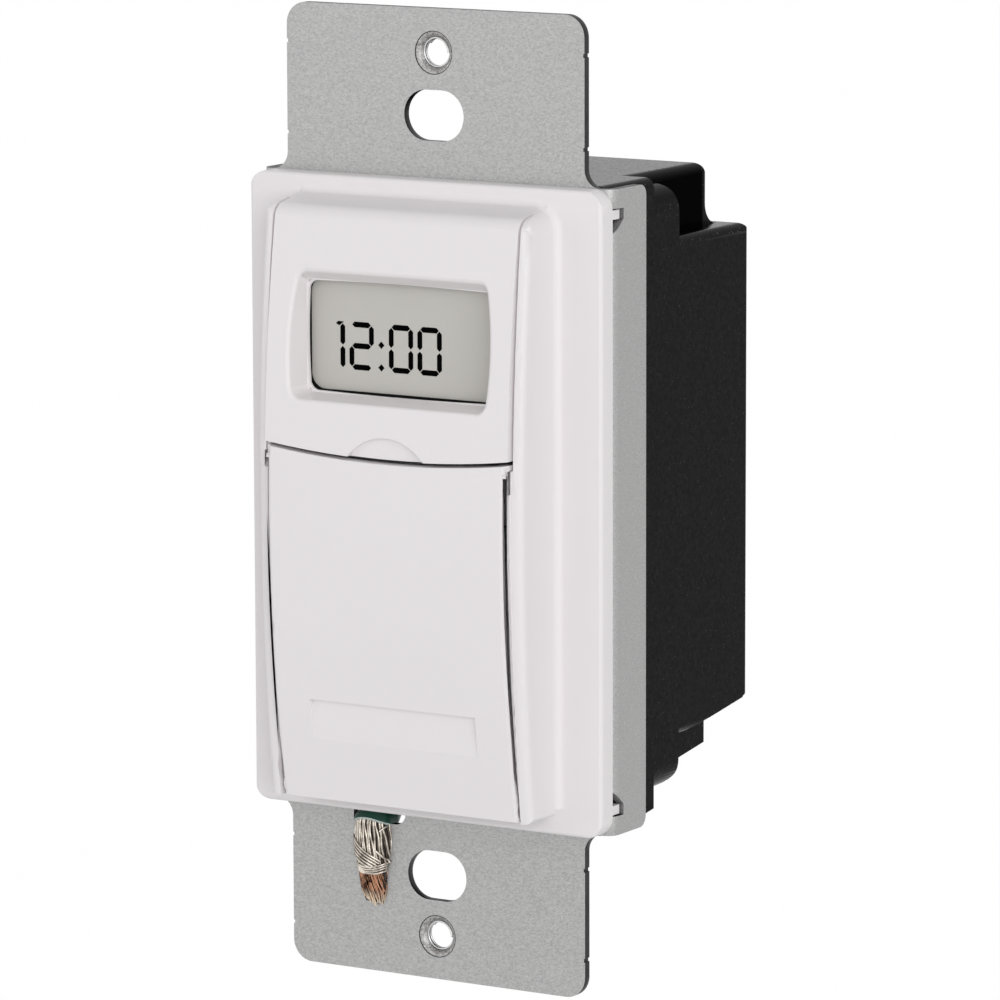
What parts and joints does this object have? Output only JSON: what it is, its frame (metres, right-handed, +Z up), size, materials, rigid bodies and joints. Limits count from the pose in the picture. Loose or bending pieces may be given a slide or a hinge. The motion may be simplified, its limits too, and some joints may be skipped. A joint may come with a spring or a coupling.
{
  "type": "timer light switch",
  "caption": "In-wall digital timer switch: steel strap with ears, white bezel with display window, flip-down door over keys and battery tray, black rear housing, stranded ground lead.",
  "frame": {"origin": "Centre of both screw-hole patterns, on the strap's rear face, which is the wall plane.", "axes": "+Z is up, the front faces -Y, and +X is to the right as seen from the front."},
  "size_m": [0.0444, 0.043, 0.1064],
  "materials": {
    "galvanised_steel": "matt galvanised sheet",
    "white_moulding": "satin",
    "light_grey_moulding": "satin",
    "display_glass": "flat grey display face",
    "dark_moulding": "matt",
    "contact_rubber": "soft",
    "circuit_board": "solder mask",
    "black_moulding": "fine-grained satin",
    "grey_key": "soft matt",
    "battery_sleeve": "plain sleeve",
    "spring_brass": "bright",
    "relay_case": "smooth",
    "film_case": "smooth",
    "can_sleeve": "shrink sleeve",
    "disc_coating": "dipped",
    "screw_steel": "zinc plated",
    "green_insulation": "smooth",
    "tinned_copper": "stranded, with a bare copper tail"
  },
  "bodies": {
    "switch_body": {"mounting_strap": "galvanised_steel", "front_bezel": "white_moulding", "keypad_deck": "light_grey_moulding", "lcd_glass": "display_glass", "lcd_holder": "dark_moulding", "zebra_strips": "contact_rubber", "control_board": "circuit_board", "control_chips": "black_moulding", "key_switches": "black_moulding", "battery_tray": "white_moulding", "battery": "battery_sleeve", "contact_positive": "spring_brass", "contact_negative": "spring_brass", "board_connector": "black_moulding", "power_board": "circuit_board", "relay": "relay_case", "film_capacitor": "film_case", "electrolytic_capacitors": "can_sleeve", "varistor": "disc_coating", "wire_terminals": "spring_brass", "rear_housing": "black_moulding", "housing_screws": "screw_steel", "ground_lead": "green_insulation", "ground_strands": "tinned_copper"},
    "door_leaf": {"door": "white_moulding"},
    "mode_key": {"key_mode": "grey_key"},
    "day_key": {"key_day": "grey_key"},
    "plus_key": {"key_plus": "grey_key"},
    "minus_key": {"key_minus": "grey_key"},
    "enter_key": {"key_enter": "grey_key"},
    "plunger": {"on_off_plunger": "light_grey_moulding"}
  },
  "joints": [
    {"name": "door_hinge", "type": "hinge", "parent": "switch_body", "child": "door_leaf", "pos_m": [0, -0.0074, -0.0315], "axis": [1, 0, 0], "range_deg": [-0.8, 110]},
    {"name": "mode_key_press", "type": "slide", "parent": "switch_body", "child": "mode_key", "axis": [0, 1, 0], "range_m": [0, 0.0005], "stiffness_N_per_m": 300},
    {"name": "day_key_press", "type": "slide", "parent": "switch_body", "child": "day_key", "axis": [0, 1, 0], "range_m": [0, 0.0005], "stiffness_N_per_m": 300},
    {"name": "plus_key_press", "type": "slide", "parent": "switch_body", "child": "plus_key", "axis": [0, 1, 0], "range_m": [0, 0.0005], "stiffness_N_per_m": 300},
    {"name": "minus_key_press", "type": "slide", "parent": "switch_body", "child": "minus_key", "axis": [0, 1, 0], "range_m": [0, 0.0005], "stiffness_N_per_m": 300},
    {"name": "enter_key_press", "type": "slide", "parent": "switch_body", "child": "enter_key", "axis": [0, 1, 0], "range_m": [0, 0.0005], "stiffness_N_per_m": 300},
    {"name": "plunger_press", "type": "slide", "parent": "switch_body", "child": "plunger", "axis": [0, 1, 0], "range_m": [0, 0.0005], "stiffness_N_per_m": 300}
  ]
}
